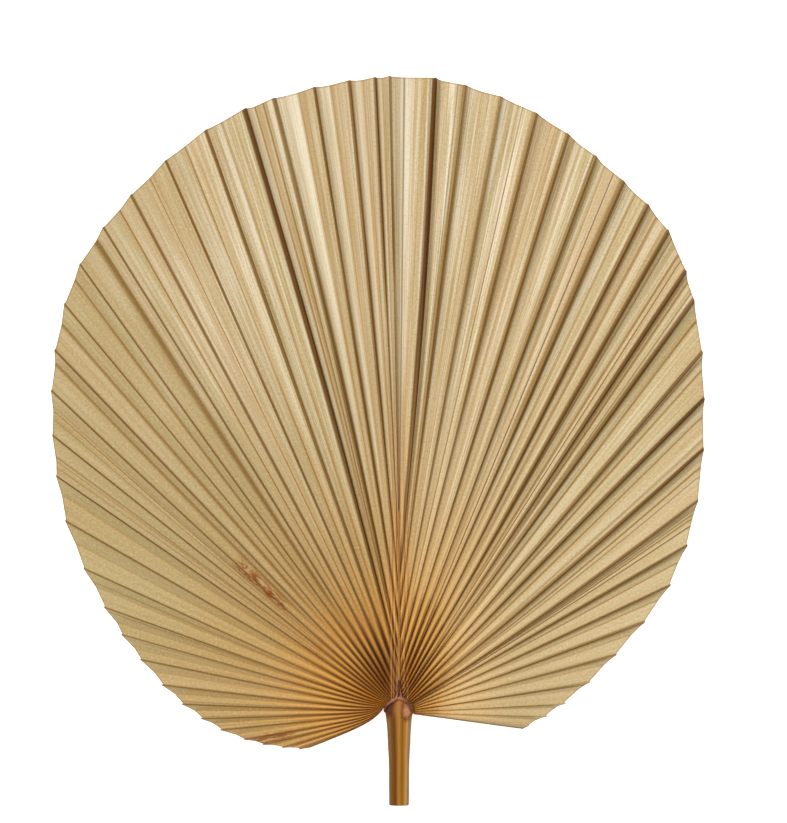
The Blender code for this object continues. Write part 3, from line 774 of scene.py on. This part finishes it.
station_y = np.array([y for y, ring in stations])
station_rings = np.array([rounded(np.array(ring)) for y, ring in stations])
stalk_y = [STALK_END, STALK_END + CUT_BEVEL]
while stalk_y[-1] < KEEL_END - STATION_STEP:
    in_head = COLLAR_Y - 1.0 < stalk_y[-1] < 0.0
    stalk_y.append(stalk_y[-1] + (HEAD_STATION_STEP if in_head else STATION_STEP))
stalk_y.append(KEEL_END)
ring_size = station_rings.shape[1]
stalk_points = []
stalk_around = []
for number, y in enumerate(stalk_y):
    after = min(max(int(np.searchsorted(station_y, y)), 1), len(station_y) - 1)
    share = (y - station_y[after - 1]) / (station_y[after] - station_y[after - 1])
    ring = station_rings[after - 1] * (1.0 - share) + station_rings[after] * share
    half = np.abs(ring[:, 0]).max()
    place = ring[:, 0] / half
    on_top = smoothstep((ring[:, 1] - ring[:, 1].mean()) / TOP_FADE)
    below_head = smoothstep((CHANNEL_END - y) / CHANNEL_FADE)
    channel = sum(deep * np.exp(-((place - at) / wide) ** 2) for at, wide, deep in CHANNELS)
    ring[:, 1] -= CHANNEL_DEPTH * channel * on_top * below_head
    knuckle = np.exp(-((ring[:, 0] - KNUCKLE[0]) ** 2 + (y - KNUCKLE[1]) ** 2) / KNUCKLE_RADIUS)
    ring[:, 1] += KNUCKLE_HEIGHT * knuckle * on_top
    if number == 0:
        middle = ring.mean(axis=0)
        ring = middle + (ring - middle) * (1.0 - CUT_BEVEL / half)
    for (x, z), around in zip(ring, place):
        stalk_points.append((x + hub_x, y + hub_y, z))
        stalk_around.append((around, y / MM_PER_TENTH))
stalk_faces = []
for number in range(len(stalk_y) - 1):
    for step in range(ring_size):
        a = number * ring_size + step
        b = number * ring_size + (step + 1) % ring_size
        stalk_faces.append((a, a + ring_size, b + ring_size, b))
stalk_faces.append(tuple(range(ring_size)))
stalk_faces.append(tuple(reversed(range(len(stalk_points) - ring_size, len(stalk_points)))))
stalk_mesh = bpy.data.meshes.new("woody_stalk")
stalk_mesh.from_pydata((np.array(stalk_points) * MM).tolist(), [], stalk_faces)
corner_points = np.empty(len(stalk_mesh.loops), dtype=np.int32)
stalk_mesh.loops.foreach_get("vertex_index", corner_points)
stalk_map = np.array(stalk_around)[corner_points]
stalk_mesh.uv_layers.new(name="stalk").data.foreach_set("uv", stalk_map.ravel())
stalk_mesh.polygons.foreach_set("use_smooth", [True] * len(stalk_mesh.polygons))
stalk_mesh.set_sharp_from_angle(angle=math.radians(CREASE_ANGLE))
stalk = bpy.data.objects.new("woody_stalk", stalk_mesh)
bpy.context.scene.collection.objects.link(stalk)

# Stalk colours across it, with painted shade on the left and painted highlights.
BARK_BANDS_AND_SHADING = (
    (0.0, dye(130, 100, 64)), (0.1, dye(112, 74, 30)), (0.24, dye(100, 54, 0)),
    (0.36, dye(150, 98, 34)), (0.47, dye(178, 128, 60)), (0.58, dye(160, 114, 42)),
    (0.7, dye(138, 90, 12)), (0.82, dye(166, 114, 40)), (0.93, dye(196, 150, 92)),
    (1.0, dye(150, 120, 84)),
)
DARK_FIBRE, DARK_SPECK = dye(104, 60, 4), dye(94, 52, 6)
RIB_BROWN, RIB_GOLD = dye(138, 86, 36), dye(196, 146, 82)
HEAD_TAN, HEAD_SHADE = dye(172, 116, 62), dye(88, 50, 24)
KNUCKLE_RING, KNUCKLE_PINK = dye(104, 52, 26), dye(190, 132, 96)

# Bands of brown and gold down the stalk, placed from its left side to its right, with
# painted shade darkest on the left and painted highlights in the middle and along the
# right edge.
bark = Finish("golden_bark")
stalk_spot = bark.node("ShaderNodeSeparateXYZ")
bark.put(stalk_spot.inputs[0], bark.node("ShaderNodeUVMap", uv_map="stalk").outputs["UV"])
side, along = stalk_spot.outputs["X"], stalk_spot.outputs["Y"]
wander = bark.offset(bark.noise(bark.scaled((side, 1.5), (along, 4.0))), 0.5, 0.1)
bands = bark.node("ShaderNodeValToRGB")
bark.put(bands.inputs["Fac"], bark.math("ADD", bark.spread(side, -1.0, 1.0), wander))
for place, colour in BARK_BANDS_AND_SHADING[1:-1]:
    bands.color_ramp.elements.new(place)
for element, (place, colour) in zip(bands.color_ramp.elements, BARK_BANDS_AND_SHADING):
    element.position = place
    element.color = colour
bark.shade = bands.outputs["Color"]

# Over them dark fibres and specks, the midrib's own brown and gold, and a tan head, with
# a pale knuckle in a dark ring on its right and painted shade in dark brown on its left.
fibre = bark.noise(bark.scaled((side, 16.0), (along, 3.0)), 4.0, 0.65)
speck = bark.noise(bark.scaled((side, 22.0), (along, 40.0), layer=3.0))
on_rib = bark.spread(along, 0.0, 0.06)
off_rib = bark.math("SUBTRACT", 1.0, on_rib)
bark.coat(DARK_FIBRE, bark.spread(fibre, 0.35, 0.65, 0.4, 0.0))
bark.coat(DARK_SPECK, bark.spread(speck, 0.62, 0.75, 0.0, 0.5))
bark.coat(bark.mix(bark.spread(fibre, 0.3, 0.7), RIB_BROWN, RIB_GOLD), on_rib)
bark.coat(HEAD_TAN, bark.spread(along, -0.14, -0.06, 0.0, 0.5), off_rib)
across_knuckle = bark.offset(side, 0.55, 2.3)
along_knuckle = bark.offset(along, -0.08, 17.0)
from_knuckle = bark.math("ADD", bark.product(across_knuckle, across_knuckle),
                         bark.product(along_knuckle, along_knuckle))
from_knuckle = bark.math("ADD", bark.math("SQRT", from_knuckle), bark.offset(speck, 0.5, 1.5))
bark.coat(KNUCKLE_RING, bark.spread(from_knuckle, 1.2, 0.75, 0.0, 0.85))
bark.coat(KNUCKLE_PINK, bark.spread(from_knuckle, 0.8, 0.3, 0.0, 0.85))
bark.coat(HEAD_SHADE, bark.spread(side, -0.2, -0.6), bark.spread(along, -0.14, -0.09), off_rib)
bark.bump(fibre, 0.0003, 0.6)
bark.cover(stalk_mesh, bark.spread(fibre, 0.3, 0.7, 0.5, 0.36), 0.1)
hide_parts("leaf_stalk")
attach(stalk, "root")


# The crest: the hard reddish-brown ridge that grows over the joint of stalk and blade. It
# arches round the stalk's head, thin and dark on the right, and runs up the midrib as two
# narrow lips with a groove between them. It dried together with the leaf.

CREST_FOOT = 8.7
CREST_TOP = 10.75
CREST_TURNS = (-88.0, 97.0)
CREST_STEPS = 60
CREST_RADIUS = 8.25
CREST_HALF = 1.15
LIP_STEPS = 24
LIP_LENGTH = 10.3
LIP_HALF = 0.8
LIP_APART = 1.0
TUBE_SIDES = 14
CREST_SEED = 5
ARCH_TAPER = 0.35
ARCH_END = 0.02
ARCH_THINNING = 0.45
THINS_FROM = 0.5
THINS_OVER = 0.35
ARCH_RIDGE = 0.86
ARCH_WANDER = 0.25
WANDER_RATE = 17.0
BUMPS = ((0.12, 41.0, 0.0), (0.1, 23.0, 1.0))
LIP_START = -0.9
LIP_TAPER = 0.75
LIP_FLARE = 1.2
LIP_UNEVEN = 0.1
LIP_DROP = 0.15
LIP_SLOPE = 1.1

crest_points = []
crest_faces = []


def add_tube(path, halves, tops):
    """Closed ridge along a path in plan, as wide as each half width and up to each top."""
    path = np.array(path)
    way = np.gradient(path, axis=0)
    way /= np.linalg.norm(way, axis=1)[:, None]
    start = len(crest_points)
    for (x, y), (along_x, along_y), half, top in zip(path, way, halves, tops):
        middle = (CREST_FOOT + top) / 2.0
        for step in range(TUBE_SIDES):
            turn = 2.0 * math.pi * step / TUBE_SIDES
            out = half * math.cos(turn)
            rise = (top - middle) * math.sin(turn)
            crest_points.append((x + along_y * out + hub_x, y - along_x * out + hub_y, middle + rise))
    for number in range(len(path) - 1):
        for step in range(TUBE_SIDES):
            a = start + number * TUBE_SIDES + step
            b = start + number * TUBE_SIDES + (step + 1) % TUBE_SIDES
            crest_faces.append((a, a + TUBE_SIDES, b + TUBE_SIDES, b))
    crest_faces.append(tuple(range(start, start + TUBE_SIDES)))
    end = start + (len(path) - 1) * TUBE_SIDES
    crest_faces.append(tuple(reversed(range(end, end + TUBE_SIDES))))


crest_chance = random.Random(CREST_SEED)
arch, arch_halves, arch_tops = [], [], []
for step in range(CREST_STEPS + 1):
    share = step / CREST_STEPS
    turn = CREST_TURNS[0] + (CREST_TURNS[1] - CREST_TURNS[0]) * share
    taper = math.sin(math.pi * min(max(share, ARCH_END), 1.0 - ARCH_END)) ** ARCH_TAPER
    thin = 1.0 - ARCH_THINNING * smoothstep((share - THINS_FROM) / THINS_OVER)
    bumps = sum(size * math.sin(share * rate + start) for size, rate, start in BUMPS)
    radius = CREST_RADIUS + ARCH_WANDER * math.sin(share * WANDER_RATE)
    arch.append(polar(turn, radius) + (0.0, COLLAR_Y))
    arch_halves.append(CREST_HALF * taper * thin * (1.0 + bumps))
    arch_tops.append(CREST_FOOT + (CREST_TOP - CREST_FOOT) * taper * (ARCH_RIDGE + bumps / 2.0))
add_tube(arch, arch_halves, arch_tops)
for side in (-1.0, 1.0):
    lip, lip_halves, lip_tops = [], [], []
    for step in range(LIP_STEPS + 1):
        share = step / LIP_STEPS
        taper = 1.0 - LIP_TAPER * share
        apart = side * LIP_APART * taper * (1.0 + LIP_FLARE * (1.0 - share) ** 4)
        lip.append((apart, LIP_START + (LIP_LENGTH - LIP_START) * share))
        lip_halves.append(LIP_HALF * taper * (1.0 + LIP_UNEVEN * crest_chance.uniform(-1.0, 1.0)))
        lip_tops.append(CREST_TOP - LIP_DROP - LIP_SLOPE * share)
    add_tube(lip, lip_halves, lip_tops)
crest_mesh = bpy.data.meshes.new("hard_crest")
crest_mesh.from_pydata((np.array(crest_points) * MM).tolist(), [], crest_faces)
crest_mesh.polygons.foreach_set("use_smooth", [True] * len(crest_mesh.polygons))
crest = bpy.data.objects.new("hard_crest", crest_mesh)
bpy.context.scene.collection.objects.link(crest)

HORN_SIDES, HORN_TOP_HIGHLIGHT = dye(86, 38, 22), dye(164, 100, 70)
HORN_RIGHT, HORN_MOTTLE = dye(96, 50, 24), dye(120, 56, 38)

# Dark sides and a paler pinkish top, partly its own tone and partly a painted highlight,
# dark brown on the right, with reddish mottle over them.
horn = Finish("red_horn")
crest_spot = horn.node("ShaderNodeSeparateXYZ")
horn.put(crest_spot.inputs[0], horn.node("ShaderNodeTexCoord").outputs["Object"])
mottle = horn.noise(horn.scaled(*((crest_spot.outputs[axis], 900.0) for axis in "XYZ")), 3.0, 0.6)
horn.shade = horn.mix(horn.spread(crest_spot.outputs["Z"], 0.0096, 0.0106), HORN_SIDES, HORN_TOP_HIGHLIGHT)
to_right = horn.spread(crest_spot.outputs["X"], hub_x * MM + 0.001, hub_x * MM + 0.005)
horn.coat(HORN_RIGHT, to_right, 0.75)
horn.coat(HORN_MOTTLE, horn.spread(mottle, 0.45, 0.7, 0.0, 0.6))
horn.bump(mottle, 0.0003, 0.5)
horn.cover(crest_mesh, horn.spread(mottle, 0.3, 0.7, 0.36, 0.5), 0.4)
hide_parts("leaf_crest")
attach(crest, "root")


# The stage: a plain white floor, a large soft lamp high on the left, a weak one on the
# right and warm white surroundings, with the camera straight above the leaf.

FLOOR_HALF = 25.0
floor_mesh = bpy.data.meshes.new("floor")
corners = [(-FLOOR_HALF, -FLOOR_HALF, 0.0), (FLOOR_HALF, -FLOOR_HALF, 0.0),
           (FLOOR_HALF, FLOOR_HALF, 0.0), (-FLOOR_HALF, FLOOR_HALF, 0.0)]
floor_mesh.from_pydata(corners, [], [(0, 1, 2, 3)])
floor = bpy.data.objects.new("floor", floor_mesh)
bpy.context.scene.collection.objects.link(floor)
white = Finish("white_floor")
white.shader.inputs["Base Color"].default_value = (0.9, 0.9, 0.9, 1.0)
white.shader.inputs["Roughness"].default_value = 0.9
white.shader.inputs["Emission Color"].default_value = (1.0, 1.0, 1.0, 1.0)
white.shader.inputs["Emission Strength"].default_value = 0.75
floor_mesh.materials.append(white.material)


def lamp(name, azimuth, elevation, energy, softness):
    light = bpy.data.lights.new(name, "SUN")
    light.energy = energy
    light.angle = math.radians(softness)
    made = bpy.data.objects.new(name, light)
    turn, rise = math.radians(azimuth), math.radians(elevation)
    towards = Vector((math.sin(turn) * math.cos(rise), math.cos(turn) * math.cos(rise), math.sin(rise)))
    made.rotation_euler = towards.to_track_quat("Z", "Y").to_euler()
    bpy.context.scene.collection.objects.link(made)


lamp("key_lamp", azimuth=-46.0, elevation=55.0, energy=2.25, softness=12.0)
lamp("fill_lamp", azimuth=60.0, elevation=60.0, energy=0.5, softness=40.0)
world = bpy.data.worlds.new("studio")
world.use_nodes = True
world.node_tree.nodes["Background"].inputs["Color"].default_value = (1.0, 0.96, 0.89, 1.0)
world.node_tree.nodes["Background"].inputs["Strength"].default_value = 0.45
bpy.context.scene.world = world
bpy.context.scene.view_settings.view_transform = "Standard"

MM_PER_PIXEL = 0.582
PICTURE = (787, 823)
HUB_PIXEL = (399.0, 697.0)
LENS = 85.0
SENSOR = 36.0
LEAF_PLANE = 5.0
middle_x = hub_x + (PICTURE[0] / 2.0 - HUB_PIXEL[0]) * MM_PER_PIXEL
middle_y = hub_y - (PICTURE[1] / 2.0 - HUB_PIXEL[1]) * MM_PER_PIXEL
camera_height = LEAF_PLANE + LENS / SENSOR * PICTURE[1] * MM_PER_PIXEL
camera_data = bpy.data.cameras.new("camera")
camera_data.lens = LENS
camera_data.sensor_width = SENSOR
camera = bpy.data.objects.new("camera", camera_data)
camera.location = (middle_x * MM, middle_y * MM, camera_height * MM)
bpy.context.scene.collection.objects.link(camera)
bpy.context.scene.camera = camera
